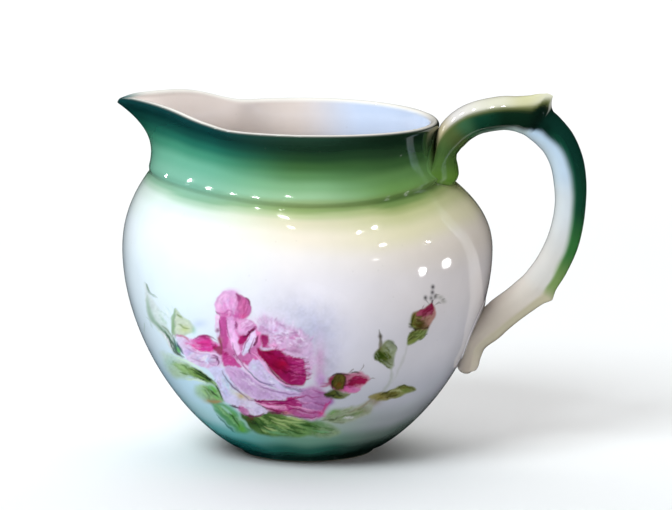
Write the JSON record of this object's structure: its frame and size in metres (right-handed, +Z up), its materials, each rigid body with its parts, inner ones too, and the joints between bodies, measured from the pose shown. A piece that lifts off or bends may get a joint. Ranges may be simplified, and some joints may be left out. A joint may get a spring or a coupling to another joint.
{
  "type": "cream jug",
  "caption": "Footed round-bellied porcelain cream jug with a flared collar, pinched pouring lip, scroll handle with a thumb spur, and a rose spray on one side.",
  "frame": {"origin": "on the bowl's axis, at the plane of the foot ring's resting edge", "axes": "+Z up, +X from the bowl's axis towards the handle, -X towards the pouring lip, -Y towards the decorated side"},
  "size_m": [0.1219, 0.096, 0.0946],
  "materials": {
    "glazed_body": "hard gloss glaze over sprayed green and cream grounds",
    "bare_foot": "glazed sides and a ground, unglazed resting edge",
    "glazed_handle": "hard gloss glaze, green sprayed along the outer side",
    "slip_joint": "smoothed slip under the same glaze",
    "rose_print": "transfer fired into the glaze",
    "leaf_print": "transfer fired into the glaze"
  },
  "bodies": {
    "root": {"body": "glazed_body", "foot_ring": "bare_foot", "handle": "glazed_handle", "upper_handle_joint": "slip_joint", "lower_handle_joint": "slip_joint", "rose_transfer": "rose_print", "left_leaf_transfer": "leaf_print", "lower_leaf_transfer": "leaf_print", "right_leaf_transfer": "leaf_print", "lower_bud_transfer": "rose_print", "middle_bud_transfer": "leaf_print", "upper_bud_transfer": "rose_print"}
  },
  "joints": []
}
